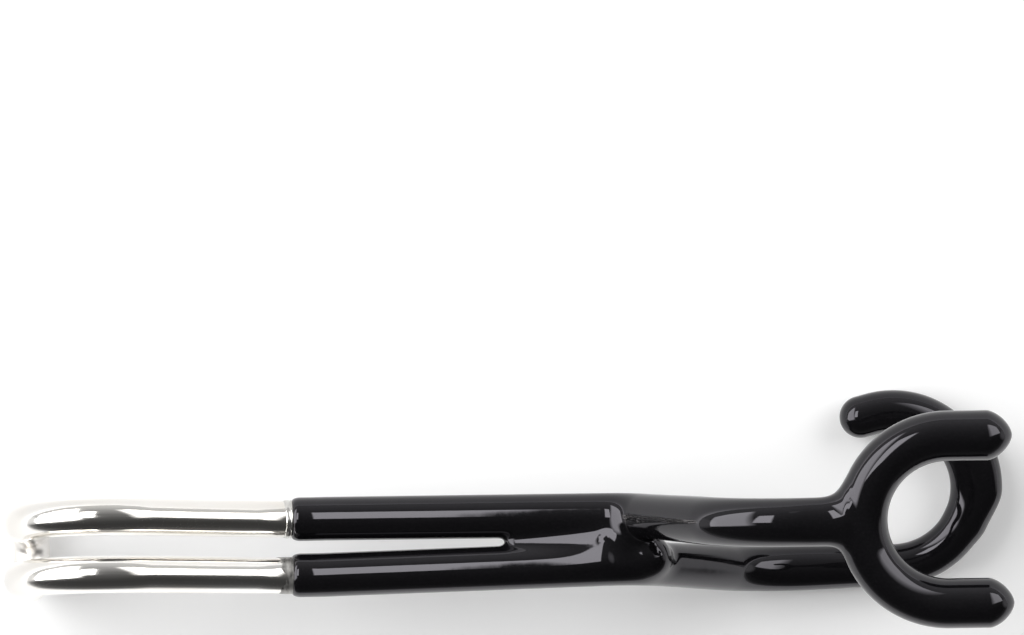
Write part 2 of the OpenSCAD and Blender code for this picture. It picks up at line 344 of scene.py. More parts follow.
class Route:
    """A centreline of straight lines and arcs, with the distance of any point from it."""

    # Two stretches that meet are equally near within this many millimetres, and the first one counts
    TIE = 1e-7

    def __init__(self, start: np.ndarray, steps: Sequence[Step]) -> None:
        """Lay the route out from its start frame.

        Args:
            start: The frame at the start, heading along its +Z.
            steps: The bending steps, in order.
        """
        self.start = start
        self.steps = list(steps)
        self.frames = walk(start, steps)
        self.stretches = []
        self.length = 0.0
        rolled = 0.0
        for step, at in zip(self.steps, self.frames):
            if step.feed > 0:
                self.add(at, step.feed, 0.0, rolled)
            rolled += math.radians(step.roll)
            if step.angle > 0:
                bend = at @ shift(0, 0, step.feed) @ turn("z", step.roll)
                self.add(bend, math.radians(step.angle), step.radius, rolled)

    def add(self, at: np.ndarray, size: float, radius: float, rolled: float) -> None:
        """Add one stretch at the end."""
        self.stretches.append(Stretch(at, size, radius, self.length, rolled))
        self.length += self.stretches[-1].length

    def frame_at(self, s: float) -> np.ndarray:
        """Return the frame at a distance along the route."""
        for stretch in self.stretches:
            if s <= stretch.before + stretch.length:
                break
        return stretch.frame_at(s - stretch.before)

    def measure(self, points: np.ndarray) -> tuple[np.ndarray, np.ndarray, np.ndarray]:
        """Measure points against the centreline.

        Args:
            points: An N by 3 array in millimetres.

        Returns:
            The distance of each point from the centreline, how far along the nearest place is,
            negative for points before the start, and at which angle around the section it lies.
        """
        best = np.full(len(points), np.inf)
        along, around = np.zeros(len(points)), np.zeros(len(points))
        for stretch in self.stretches:
            s, offset = stretch.nearest(points)
            out, beside, ahead = offset.T
            distance = np.sqrt(out ** 2 + ahead ** 2 + beside ** 2)
            nearer = distance < best - self.TIE
            best = np.where(nearer, distance, best)
            early = (stretch.before == 0) & (s <= 0) & (ahead < 0)
            along = np.where(nearer, np.where(early, ahead, s + stretch.before), along)
            around = np.where(nearer, np.arctan2(beside, out) + stretch.rolled, around)
        return best, along, around


class Maker:
    """Modelling by hand in code: each method works with Blender's own operators."""

    # Ends of stretches closer than this, in metres, become one
    MERGE = 2e-6

    @staticmethod
    def clear() -> None:
        """Leave nothing selected, in object mode."""
        if bpy.context.mode != "OBJECT":
            bpy.ops.object.mode_set(mode="OBJECT")
        bpy.ops.object.select_all(action="DESELECT")

    @staticmethod
    def pick(piece: bpy.types.Object) -> None:
        """Select one piece alone and make it the active one."""
        Maker.clear()
        piece.select_set(True)
        bpy.context.view_layer.objects.active = piece

    @staticmethod
    def bend_rod(name: str, start: np.ndarray, steps: Sequence[Step], radius: float,
                 sides: int = 64, degrees: float = 2.5) -> bpy.types.Object:
        """Draw a round rod as a bending machine would: extrude each straight, spin each bend.

        Args:
            name: The new object's name.
            start: The frame of the rod's first end, in millimetres, heading along +Z.
            steps: The bending steps.
            radius: The rod's radius in millimetres.
            sides: Number of sides of the round section.
            degrees: Turn between two rings of a bend.

        Returns:
            The rod, open at both ends, with its place in its mesh.
        """
        Maker.clear()
        bpy.ops.mesh.primitive_circle_add(vertices=sides, radius=radius * MM, fill_type="NOTHING")
        rod = bpy.context.object
        rod.name = name
        rod.data.transform(in_metres(start))
        bpy.ops.object.mode_set(mode="EDIT")
        bpy.ops.mesh.select_all(action="SELECT")
        for step, here in zip(steps, walk(start, steps)):
            if step.feed > 0:
                move = Vector(here[:3, 2]) * step.feed * MM
                bpy.ops.mesh.extrude_region_move(TRANSFORM_OT_translate={"value": move})
            if step.angle > 0:
                bend = here @ shift(0, 0, step.feed) @ turn("z", step.roll)
                centre = (bend @ shift(step.radius, 0, 0))[:3, 3] * MM
                count = max(2, round(step.angle / degrees))
                # With no window, spin turns against the right-hand rule
                bpy.ops.mesh.spin(steps=count, angle=math.radians(step.angle), center=centre,
                                  axis=-bend[:3, 1])
        bpy.ops.object.mode_set(mode="OBJECT")
        return rod

    @staticmethod
    def close(piece: bpy.types.Object) -> None:
        """Merge doubles, fill open ends and turn all faces outwards."""
        Maker.pick(piece)
        bpy.ops.object.mode_set(mode="EDIT")
        bpy.ops.mesh.select_all(action="SELECT")
        bpy.ops.mesh.remove_doubles(threshold=Maker.MERGE)
        bpy.ops.mesh.select_all(action="DESELECT")
        bpy.ops.mesh.select_non_manifold()
        bpy.ops.mesh.fill_holes(sides=0)
        bpy.ops.mesh.select_all(action="SELECT")
        bpy.ops.mesh.normals_make_consistent(inside=False)
        bpy.ops.object.mode_set(mode="OBJECT")

    @staticmethod
    def join(name: str, pieces: Sequence[bpy.types.Object]) -> bpy.types.Object:
        """Join pieces into the first one, and name it."""
        Maker.pick(pieces[0])
        for piece in pieces:
            piece.select_set(True)
        bpy.ops.object.join()
        pieces[0].name = name
        return pieces[0]

    @staticmethod
    def smooth(piece: bpy.types.Object, degrees: float = 40.0) -> None:
        """Shade a piece smooth except across sharp edges."""
        Maker.pick(piece)
        bpy.ops.object.shade_smooth_by_angle(angle=math.radians(degrees))
        Maker.clear()

    @staticmethod
    def vertices(piece: bpy.types.Object) -> np.ndarray:
        """Return a piece's vertices in millimetres as an N by 3 array."""
        flat = np.empty(len(piece.data.vertices) * 3, np.float32)
        piece.data.vertices.foreach_get("co", flat)
        return flat.reshape(-1, 3).astype(float) / MM

    @staticmethod
    def move(piece: bpy.types.Object, points: np.ndarray) -> None:
        """Move a piece's vertices to these places, in millimetres."""
        piece.data.vertices.foreach_set("co", (points * MM).astype(np.float32).ravel())
        piece.data.update()


@dataclass(frozen=True)
class Grain:
    """A noise texture's scale, its number of finer layers and factors on its coordinates."""

    scale: float
    layers: float
    stretch: tuple = (1, 1, 1)
    layering: float = 0.55


@dataclass(frozen=True)
class Nodes:
    """A node tree with short ways to add and join nodes."""

    owner: bpy.types.Material | bpy.types.Light | bpy.types.World

    @classmethod
    def material(cls, name: str) -> "Nodes":
        """Return the empty tree of a new material."""
        nodes = cls(bpy.data.materials.new(name))
        nodes.owner.use_nodes = True
        nodes.owner.node_tree.nodes.clear()
        return nodes

    def add(self, kind: str, values: dict | None = None, **settings) -> bpy.types.Node:
        """Add one node.

        Args:
            kind: The node's type.
            values: Values of its inputs, by name.
            settings: Properties of the node.

        Returns:
            The new node.
        """
        node = self.owner.node_tree.nodes.new(kind)
        for key, value in settings.items():
            setattr(node, key, value)
        for key, value in (values or {}).items():
            node.inputs[key].default_value = value
        return node

    def join(self, source: bpy.types.NodeSocket, target: bpy.types.NodeSocket) -> None:
        """Link two sockets."""
        self.owner.node_tree.links.new(source, target)

    def end(self, surface: bpy.types.NodeSocket, kind: str = "ShaderNodeOutputMaterial") -> None:
        """Add the tree's output and join a surface to it."""
        self.join(surface, self.add(kind).inputs["Surface"])

    def shader(self, values: dict) -> bpy.types.Node:
        """Return the main shader of a material, joined to its output."""
        shader = self.add("ShaderNodeBsdfPrincipled", values)
        self.end(shader.outputs["BSDF"])
        return shader

    def place(self) -> bpy.types.NodeSocket:
        """Return the coordinates that are fixed to the piece."""
        return self.add("ShaderNodeTexCoord").outputs["Object"]

    def noise(self, vector: bpy.types.NodeSocket, grain: Grain) -> bpy.types.NodeSocket:
        """Return the value of a noise texture read along a vector."""
        mapping = self.add("ShaderNodeMapping", {"Scale": grain.stretch})
        self.join(vector, mapping.inputs["Vector"])
        noise = self.add("ShaderNodeTexNoise", {"Scale": grain.scale, "Detail": grain.layers,
                                                "Roughness": grain.layering})
        self.join(mapping.outputs["Vector"], noise.inputs["Vector"])
        return noise.outputs["Fac"]

    def band(self, value: bpy.types.NodeSocket, low: float, high: float, out_low: float = 0,
             out_high: float = 1) -> bpy.types.NodeSocket:
        """Map a value from one range to another, kept inside the second."""
        node = self.add("ShaderNodeMapRange", {"From Min": low, "From Max": high, "To Min": out_low,
                                               "To Max": out_high})
        self.join(value, node.inputs["Value"])
        return node.outputs["Result"]

    def work_out(self, operation: str, *values: bpy.types.NodeSocket | float) -> bpy.types.NodeSocket:
        """Work out a number from one or two values, each a socket or a number."""
        node = self.add("ShaderNodeMath", operation=operation)
        for slot, value in zip(node.inputs, values):
            if isinstance(value, bpy.types.NodeSocket):
                self.join(value, slot)
            else:
                slot.default_value = value
        return node.outputs[0]

    def parts(self, vector: bpy.types.NodeSocket) -> bpy.types.NodeOutputs:
        """Return the X, Y and Z of a vector."""
        split = self.add("ShaderNodeSeparateXYZ")
        self.join(vector, split.inputs[0])
        return split.outputs

    def blend(self, factor: bpy.types.NodeSocket, first: tuple, second: tuple) -> bpy.types.NodeSocket:
        """Mix two colours by a varying factor."""
        node = self.add("ShaderNodeMix", data_type="RGBA")
        slots = [slot for slot in node.inputs if slot.type == "RGBA"]
        self.join(factor, node.inputs[0])
        for slot, colour in zip(slots, (first, second)):
            slot.default_value = (*colour, 1)
        return next(out for out in node.outputs if out.type == "RGBA")

    def tint(self, shader: bpy.types.Node, pattern: bpy.types.NodeSocket, first: tuple, second: tuple,
             reach: tuple = (0.35, 0.7)) -> None:
        """Vary a shader's colour between two by a pattern."""
        self.join(self.blend(self.band(pattern, *reach), first, second), shader.inputs["Base Color"])

    def dull(self, shader: bpy.types.Node, pattern: bpy.types.NodeSocket, roughness: tuple,
             reach: tuple = (0.3, 0.7)) -> None:
        """Vary a shader's roughness between two by a pattern."""
        self.join(self.band(pattern, *reach, *roughness), shader.inputs["Roughness"])

    def bump(self, height: bpy.types.NodeSocket, distance: float,
             under: bpy.types.NodeSocket | None = None) -> bpy.types.NodeSocket:
        """Add a bump of that height in metres, on top of another one if given."""
        node = self.add("ShaderNodeBump", {"Strength": 1.0, "Distance": distance})
        self.join(height, node.inputs["Height"])
        if under is not None:
            self.join(under, node.inputs["Normal"])
        return node.outputs["Normal"]

    def mix(self, factor: bpy.types.NodeSocket, first: bpy.types.NodeSocket,
            second: bpy.types.NodeSocket) -> bpy.types.NodeSocket:
        """Mix two shaders."""
        node = self.add("ShaderNodeMixShader")
        for slot, source in zip(node.inputs, (factor, first, second)):
            self.join(source, slot)
        return node.outputs[0]


@dataclass(frozen=True)
class BrightNickel:
    """Drawn steel rod with bright nickel plating: faint streaks, a warm tint, a scuffed hook tip."""

    name: str = "bright nickel on drawn rod"
    colour: tuple = (0.90, 0.885, 0.86)
    warm: tuple = (0.87, 0.84, 0.79)
    roughness: tuple = (0.08, 0.17)
    clouds: Grain = Grain(70, 3)
    # Drawing streaks and finer ones: along the rod, and on pieces that don't know its lay
    lay_streaks: tuple = (Grain(2.2, 4, (0.035, 1, 1)), Grain(6, 3, (0.03, 1, 1)))
    plain_streaks: tuple = (Grain(900, 4), Grain(2400, 3))
    streak_reach: tuple = (0.3, 0.75)
    streak_height: float = 6e-6
    fine_height: float = 2e-6
    scuffed: float = 0.42
    # Length of rod from the middle of the hook's tip to where the scuffing fades out, in mm
    scuff_reach: tuple = (6.5, 11.0)
    follows_rod: bool = True

    def make(self) -> bpy.types.Material:
        """Return the finish as a material."""
        nodes = Nodes.material(self.name)
        shader = nodes.shader({"Metallic": 1.0})
        place = nodes.place()
        if self.follows_rod:
            lay = nodes.add("ShaderNodeAttribute", attribute_name=Rod.LAY).outputs["Vector"]
            streaks, fine = (nodes.noise(lay, grain) for grain in self.lay_streaks)
        else:
            streaks, fine = (nodes.noise(place, grain) for grain in self.plain_streaks)
        nodes.tint(shader, nodes.noise(place, self.clouds), self.colour, self.warm)
        gloss = nodes.band(streaks, *self.streak_reach, *self.roughness)
        if self.follows_rod:
            gloss = self.scuff(nodes, lay, gloss)
        nodes.join(gloss, shader.inputs["Roughness"])
        normal = nodes.bump(streaks, self.streak_height)
        nodes.join(nodes.bump(fine, self.fine_height, normal), shader.inputs["Normal"])
        return nodes.owner

    def scuff(self, nodes: Nodes, lay: bpy.types.NodeSocket,
              gloss: bpy.types.NodeSocket) -> bpy.types.NodeSocket:
        """Make the tip of the hook duller, where it rubs on what it hangs from.

        Args:
            nodes: The material's tree.
            lay: Where on the rod a point is.
            gloss: The roughness of the clean rod.

        Returns:
            The roughness with the scuffed tip.
        """
        from_tip = nodes.work_out("ABSOLUTE", nodes.parts(lay)["X"])
        return nodes.work_out("MAXIMUM", gloss, nodes.band(from_tip, *self.scuff_reach, self.scuffed, 0))


@dataclass(frozen=True)
class WeldBead:
    """Weld metal as it cooled: darker than the rod, with ripples."""

    name: str = "cooled weld bead"
    colour: tuple = (0.34, 0.33, 0.32)
    heat_tint: tuple = (0.28, 0.22, 0.17)
    roughness: tuple = (0.32, 0.5)
    heat_grain: Grain = Grain(500, 3)
    ripples: float = 420.0
    ripple_bends: float = 4.0
    ripple_layers: float = 2.0
    ripple_height: float = 8e-5

    def make(self) -> bpy.types.Material:
        """Return the finish as a material."""
        nodes = Nodes.material(self.name)
        shader = nodes.shader({"Metallic": 1.0})
        place = nodes.place()
        wave = nodes.add("ShaderNodeTexWave", {"Scale": self.ripples, "Distortion": self.ripple_bends,
                                               "Detail": self.ripple_layers})
        nodes.join(place, wave.inputs["Vector"])
        heat = nodes.noise(place, self.heat_grain)
        nodes.tint(shader, heat, self.colour, self.heat_tint)
        nodes.dull(shader, heat, self.roughness)
        nodes.join(nodes.bump(wave.outputs["Fac"], self.ripple_height), shader.inputs["Normal"])
        return nodes.owner


@dataclass(frozen=True)
class PrimerCoat:
    """Bonding primer over the nickel: a grey film where it is thick, nearly clear where thin."""

    name: str = "grey bonding primer"
    thick: tuple = (0.16, 0.155, 0.15)
    thin: tuple = (0.50, 0.49, 0.47)
    metallic: float = 0.7
    roughness: tuple = (0.22, 0.45)
    film_height: float = 3e-5
    film_grain: Grain = Grain(700, 4, (1.6, 0.6, 0.6))
    ior: float = 1.5

    def make(self) -> bpy.types.Material:
        """Return the finish as a material."""
        nodes = Nodes.material(self.name)
        shader = nodes.shader({"Metallic": self.metallic, "IOR": self.ior})
        film = nodes.noise(nodes.place(), self.film_grain)
        nodes.tint(shader, film, self.thick, self.thin)
        nodes.dull(shader, film, self.roughness)
        nodes.join(nodes.bump(film, self.film_height), shader.inputs["Normal"])
        return nodes.owner


@dataclass(frozen=True)
class DippedVinyl:
    """Glossy black dipped vinyl: a clear wet-looking surface, a little wavy, with fine dust."""

    name: str = "glossy black dipped vinyl"
    colour: tuple = (0.0032, 0.0031, 0.0036)
    dusty: tuple = (0.0055, 0.0052, 0.006)
    roughness: tuple = (0.035, 0.06)
    sheen: tuple = (0.95, 0.92, 1.0, 1.0)
    ior: float = 1.5
    dust: Grain = Grain(2600, 2)
    dust_reach: tuple = (0.4, 0.75)
    waves: Grain = Grain(160, 2)
    wave_height: float = 1.8e-5
    peel: Grain = Grain(900, 2)
    peel_height: float = 1.5e-6

    def make(self) -> bpy.types.Material:
        """Return the finish as a material."""
        nodes = Nodes.material(self.name)
        shader = nodes.shader({"IOR": self.ior, "Specular Tint": self.sheen})
        place = nodes.place()
        dust = nodes.noise(place, self.dust)
        nodes.tint(shader, dust, self.colour, self.dusty, self.dust_reach)
        nodes.dull(shader, dust, self.roughness)
        waves = nodes.bump(nodes.noise(place, self.waves), self.wave_height)
        peel = nodes.bump(nodes.noise(place, self.peel), self.peel_height, waves)
        nodes.join(peel, shader.inputs["Normal"])
        return nodes.owner


Finish = BrightNickel | WeldBead | PrimerCoat | DippedVinyl


@dataclass
class Rod:
    """The bent rod with the hook, in one length from the curl's end to the fork's arm."""

    LAY = "rod_lay"

    sizes: RodSizes = field(default_factory=RodSizes)
    sides: int = 64

    def build(self) -> bpy.types.Object:
        """Bend both halves from the middle of the hook's tip, join them and note the rod's lay."""
        halves = []
        for wire in Wire:
            start = self.sizes.rest() @ self.sizes.tip_frame(wire)
            steps = self.sizes.all_steps(wire)
            if wire is Wire.CURL:
                steps.append(Step(self.sizes.end_inset, 0, 0, 0))
            half = Maker.bend_rod(f"{wire.name}_half", start, steps, self.sizes.rod_r, self.sides)
            self.note_lay(half, Route(start, steps), wire)
            halves.append(half)
        rod = Maker.join("bright_hook_rod", halves)
        Maker.close(rod)
        Maker.smooth(rod)
        return rod

    def note_lay(self, half: bpy.types.Object, route: Route, wire: Wire) -> None:
        """Store on each vertex how far along and where around the rod it is, in millimetres."""
        _, along, around = route.measure(Maker.vertices(half))
        values = np.stack([along * wire.value, self.sizes.rod_r * np.cos(around),
                           self.sizes.rod_r * np.sin(around) * wire.value], axis=1)
        layer = half.data.attributes.new(self.LAY, "FLOAT_VECTOR", "POINT")
        layer.data.foreach_set("vector", values.astype(np.float32).ravel())


@dataclass
class PrimerEdge:
    """The band of primer that shows on one leg just before the vinyl starts.

    Each bead is a ridge: its middle and half its width along the band, and its height, in mm.
    """

    wire: Wire
    width: float
    ragged: float
    beads: tuple = ()
    sizes: RodSizes = field(default_factory=RodSizes)
    thickness: float = 0.05
    sunk: float = 0.02
    under_skin: float = 1.0
    # Along the band, where its far edge is thinnest and where it is full
    thin_edge: tuple = (-0.2, 1.0)
    # Waves of the far edge: how many around the rod, where they start and how high they are
    waves: tuple = ((2, 1, 1.0), (5, 0, 0.6), (11, 2, 0.4))
    sides: int = 96
    ring_degrees: float = 0.2
    sharp_from: float = 60.0

    def build(self) -> bpy.types.Object:
        """Spin the band around the heel bend, raise its beads and make its far edge uneven."""
        s = self.sizes
        start = s.before_leg(self.wire, s.heel_skin + self.width)
        steps = [s.heel_step(self.width + self.under_skin)]
        band = Maker.bend_rod(f"primer_edge_{self.wire.name.lower()}", start, steps,
                              s.rod_r + self.thickness, self.sides, self.ring_degrees)
        Maker.close(band)
        points = Maker.vertices(band)
        route = Route(start, steps)
        _, along, around = route.measure(points)
        edge = self.ragged * sum(high * np.sin(count * around + begin) for count, begin, high in self.waves)
        low, high = self.thin_edge
        fade = np.clip((along - low) / (high - low), 0, 1)
        frames = np.array([route.frame_at(here) for here in along])
        centre, ahead = frames[:, :3, 3], frames[:, :3, 2]
        out = points - centre
        size = np.linalg.norm(out, axis=1)
        radius = s.rod_r - self.sunk + (self.thickness + self.sunk) * np.sqrt(fade)
        for middle, half_width, height in self.beads:
            radius = radius + height * np.sqrt(np.clip(1 - ((along - middle) / half_width) ** 2, 0, 1))
        # Vertices near the middle of the closed ends stay where they are
        scale = np.where(size > 1, radius, size) / np.maximum(size, 1e-9)
        Maker.move(band, centre + out * scale[:, None] + ahead * (edge * (1 - fade))[:, None])
        Maker.smooth(band, self.sharp_from)
        return band


@dataclass
class VinylSkin:
    """The dipped skin: tubes over both wires, the fork, the web and saddle between the legs.

    Sizes are in millimetres. Frames at the crotch have +X along the legs and +Z out of their plane.
    """

    NAME = "dipped_vinyl_skin"

    sizes: RodSizes = field(default_factory=RodSizes)
    voxel: float = 0.345
    sides: int = 48
    ring_degrees: float = 5.0
    # Length of the rounded lip at the start of the skin
    lip: float = 1.5
    # The fork's neck: half its thickness and half its width, and how it narrows before the fork
    neck_high: float = 3.5
    neck_wide: float = 4.05
    neck_start: float = 7.4
    neck_taper: float = 3.2
    neck_end: float = 1.8
    # Before the fork, where the neck starts to flatten and where it is flat, and how flat it ends
    flat_reach: tuple = (14.0, 8.0)
    flat_end: float = 0.55
    # Fillets between neck and fork, with the places across and along it between which they change
    fork_fillet: float = 3.2
    fork_fillet_high: float = 5.6
    fillet_side: tuple = (-2.0, 6.0)
    hole_fillet: float = 0.8
    hole_start: float = -2.0
    hole_reach: float = 3.5
    # The web: half its thickness at its start, how it rises and slants, and how its edges are rounded
    web_half: float = 1.5
    web_ahead: float = 2.4
    web_round: float = 1.8
    web_rise: float = 2.1
    web_run: float = 19.6
    web_slant: float = 0.25
    web_level: float = 3.0
    web_edge: float = 2.5
    web_fillet: float = 2.0
    web_clear: float = 0.2
    # The saddle at the crotch and the lump over the weld, as balls in the crotch's frame
    saddle: tuple = (4.0, 0.0, 0.0)
    saddle_r: float = 3.38
    lump: tuple = (8.8, -3.2, -0.5)
    lump_r: float = 3.5
    ball_fillet: float = 3.0
    # Fillet between the two wires, by the place along the legs
    filling: tuple = ((-18, -13, -5, 2, 8, 15), (1.2, 3.0, 5.5, 7.5, 7.5, 1.5))
    # Where each prong starts to narrow, and how long and how pointed its nose is
    prong_end: float = 6.45
    prong_nose: float = 4.2
    prong_point: float = 1.62
    # The run of vinyl at the front of the curl: its place and spread in degrees, then its shape
    run_at: float = 99.0
    run_spread: float = 11.0
    run_tail: float = 24.0
    run_r: float = 3.1
    run_proud: float = 1.7
    run_fillet: float = 2.6
    # How much slimmer the rough fork and the balls in its ends are, and how much shorter the rough web
    rough_inside: float = 0.2
    rough_nose: float = 0.9
    rough_end: float = 1.0
    # Settling on the surface: rounds before and after smoothing, and the longest step
    rounds: tuple = (4, 3)
    relax_rounds: int = 6
    relax_share: float = 0.5
    longest_step: float = 0.5
    slope_reach: float = 0.02
    # Least square of the slope that a step is worked out with
    least_slope: float = 0.05

    def __post_init__(self) -> None:
        """Lay out the centrelines of both wires from lip to end."""
        s = self.sizes
        self.routes = {
            wire: Route(s.before_leg(wire, s.heel_skin),
                        [s.heel_step(s.heel_skin), s.hook_steps(wire)[-1]] + s.arm_steps(wire)
                        + s.jaw_steps(wire))
            for wire in Wire
        }
        self.radii = {wire: self.radius_knots(wire) for wire in Wire}

    def radius_knots(self, wire: Wire) -> Radius:
        """Return how thick that wire is with its skin on, from the lip to the end."""
        s = self.sizes
        bends = s.arm(wire)
        arm = s.heel_skin + math.radians(s.leg_pinch) * s.pinch_r + s.leg(wire)
        arm += math.radians(bends.out_angle) * bends.out_r
        jaw = arm + bends.feed + math.radians(bends.in_angle) * bends.in_r
        knots = [(0, s.leg_out), (arm, s.leg_out), (arm + bends.feed, s.arm_out), (jaw, s.arm_out)]
        if wire is Wire.CURL:
            return Radius(knots + [(jaw + s.curl_feed, s.curl_out),
                                   (self.routes[wire].length, s.curl_out)])
        fork = jaw + s.fork_feed
        return Radius(knots + [(fork - self.neck_start, self.neck_wide),
                               (fork - self.neck_taper, self.neck_wide), (fork, self.neck_end)])

    def wire_field(self, wire: Wire, points: np.ndarray) -> np.ndarray:
        """Return the distance of points from one skinned wire, with a rounded lip at its start."""
        distance, along, _ = self.routes[wire].measure(points)
        radius = self.radii[wire].at(np.maximum(along, 0))
        if wire is Wire.FORK:
            radius = radius - self.neck_flattening(points, along)
        radial = np.sqrt(np.maximum(distance ** 2 - np.minimum(along, 0) ** 2, 0))
        edge = self.sizes.leg_out - self.sizes.rod_r
        lip = rounded_box(radial - (radius - edge), (self.lip - along) * edge / self.lip) - edge
        return np.where(along < self.lip, lip, distance - radius)

    def neck_flattening(self, points: np.ndarray, along: np.ndarray) -> np.ndarray:
        """Return how much thinner the fork's neck is above and below than at its sides."""
        x, y, _ = seen_from(self.sizes.fork_frame(), points).T
        upward = x ** 2 / np.maximum(x ** 2 + y ** 2, 1e-6)
        end = self.routes[Wire.FORK].length
        start, flat = self.flat_reach
        knots = [(end - start, 0), (end - flat, self.neck_wide - self.neck_high), (end, self.flat_end)]
        return Radius(knots).at(along) * upward

    def fork_field(self, points: np.ndarray) -> np.ndarray:
        """Return the distance of points from the fork's half circle and its pointed prongs."""
        s = self.sizes
        x, y, z = seen_from(s.fork_frame(), points).T
        ahead = z - s.jaw_r
        ring = np.abs(np.hypot(y, np.minimum(ahead, 0)) - s.jaw_r)
        radial = np.hypot(np.where(ahead > 0, np.abs(y) - s.jaw_r, ring), x)
        past = np.maximum(ahead - self.prong_end, 0) * s.fork_out / self.prong_nose
        power = self.prong_point
        nose = (radial ** power + past ** power) ** (1 / power)
        return np.where(past > 0, nose, radial) - s.fork_out

    def fork_blend(self, points: np.ndarray) -> np.ndarray:
        """Return how wide the fillet of neck and fork is: wider on the +Y side, least in the hole."""
        at = self.sizes.fork_frame()
        _, y, z = seen_from(at, points).T
        fillet = np.interp(y * np.sign(at[1, 1]), self.fillet_side,
                           (self.fork_fillet, self.fork_fillet_high))
        into_hole = np.clip((z - self.hole_start) / self.hole_reach, 0, 1)
        return fillet + (self.hole_fillet - fillet) * into_hole

    def web_field(self, local: np.ndarray) -> np.ndarray:
        """Return the distance of points in the crotch's frame from the web, whose start is hollow."""
        s = self.sizes
        x, y, z = local.T
        start = s.slot_len - s.leg_feed
        half_gap = s.wire_gap / 2 - s.slot_len * math.sin(math.radians(s.leg_pinch))
        hollow = half_gap - s.leg_out + self.web_clear
        past = np.maximum(hollow - np.hypot(np.maximum(x - start, 0), y), start - x + hollow)
        past = np.maximum(past, x - self.web_ahead)
        rise = np.clip((x - start) / self.web_run, 0, 1)
        slant = self.web_slant * self.web_level * np.tanh(y / self.web_level)
        thick = self.web_half + rise * (self.web_rise - slant)
        e = self.web_round
        slab = rounded_box(past + e, np.abs(z) - thick + e) - e
        return -smooth_min(-slab, s.wire_gap / 2 - np.abs(y), self.web_edge)

    def run_field(self, points: np.ndarray) -> np.ndarray:
        """Return the distance of points from the run of vinyl on the front of the curl."""
        s = self.sizes
        x, y, z = seen_from(s.curl_frame() @ shift(s.jaw_r, 0, 0), points).T
        low, high = (math.radians(self.run_at + side * self.run_spread) for side in (-1, 1))
        tail = math.radians(self.run_tail)
        angle = np.clip(np.arctan2(z, -x), low - tail, high)
        fade = np.clip((low - angle) / tail, 0, 1)
        path_r = s.jaw_r + s.curl_out + self.run_proud * (1 - ease(fade)) - self.run_r
        dx, dz = x + path_r * np.cos(angle), z - path_r * np.sin(angle)
        return np.sqrt(dx ** 2 + dz ** 2 + y ** 2) - self.run_r

    def field(self, points: np.ndarray) -> np.ndarray:
        """Return how far points lie outside the skin's surface, in millimetres.

        Args:
            points: An N by 3 array in millimetres.

        Returns:
            N distances, negative inside the skin.
        """
        local = seen_from(self.sizes.crotch(), points)
        fork = smooth_min(self.wire_field(Wire.FORK, points), self.fork_field(points),
                          self.fork_blend(points))
        curl = smooth_min(self.wire_field(Wire.CURL, points), self.run_field(points), self.run_fillet)
        out = smooth_min(curl, fork, np.interp(local[:, 0], *self.filling))
        out = smooth_min(out, self.web_field(local), self.web_fillet)
        for place, radius in ((self.saddle, self.saddle_r), (self.lump, self.lump_r)):
            ball = np.linalg.norm(local - place, axis=1) - radius
            out = smooth_min(out, ball, self.ball_fillet)
        return out

    def slope(self, points: np.ndarray) -> np.ndarray:
        """Return the field's gradient at each point."""
        reach = np.eye(3) * self.slope_reach
        return np.stack([(self.field(points + side) - self.field(points - side)) / (2 * self.slope_reach)
                         for side in reach], axis=1)

    def settle(self, points: np.ndarray, rounds: int) -> np.ndarray:
        """Move points onto the skin's surface.

        Args:
            points: An N by 3 array in millimetres.
            rounds: How many times to step towards the surface.

        Returns:
            The moved points.
        """
        for _ in range(rounds):
            slope = self.slope(points)
            size = np.maximum((slope ** 2).sum(axis=1), self.least_slope)
            move = np.clip(self.field(points) / size, -self.longest_step, self.longest_step)
            points = points - slope * move[:, None]
        return points

    def build(self) -> bpy.types.Object:
        """Sweep tubes over the wires, merge them into one skin and settle it on its true surface."""
        skin = Maker.join(self.NAME, self.rough_tubes() + self.rough_lumps())
        Maker.pick(skin)
        remesh = skin.modifiers.new("one skin", "REMESH")
        remesh.mode = "VOXEL"
        remesh.voxel_size = self.voxel * MM
        bpy.ops.object.modifier_apply(modifier=remesh.name)
        Maker.move(skin, self.settle(Maker.vertices(skin), self.rounds[0]))
        relax = skin.modifiers.new("even out", "SMOOTH")
        relax.factor = self.relax_share
        relax.iterations = self.relax_rounds
        bpy.ops.object.modifier_apply(modifier=relax.name)
        points = self.settle(Maker.vertices(skin), self.rounds[1])
        Maker.move(skin, points)
        bpy.ops.object.shade_smooth()
        normals = self.slope(points)
        normals /= np.linalg.norm(normals, axis=1, keepdims=True)
        skin.data.normals_split_custom_set_from_vertices(normals.tolist())
        Maker.clear()
        return skin

    def rough_tubes(self) -> list[bpy.types.Object]:
        """Return rough tubes over both wires and the fork, a little slimmer than the skin."""
        s = self.sizes
        runs = [(wire.name, route.start, route.steps, s.leg_out) for wire, route in self.routes.items()]
        back = s.fork_frame() @ shift(0, -s.jaw_r, s.jaw_r + self.prong_end) @ turn("x", 180)
        prongs = [Step(self.prong_end, -90, 180, s.jaw_r), Step(self.prong_end, 0, 0, 0)]
        runs.append(("fork", back, prongs, s.fork_out - self.rough_inside))
        out = []
        for name, start, steps, radius in runs:
            tube = Maker.bend_rod(f"tube_{name}", start, steps, radius, self.sides, self.ring_degrees)
            Maker.close(tube)
            out.append(tube)
        return out

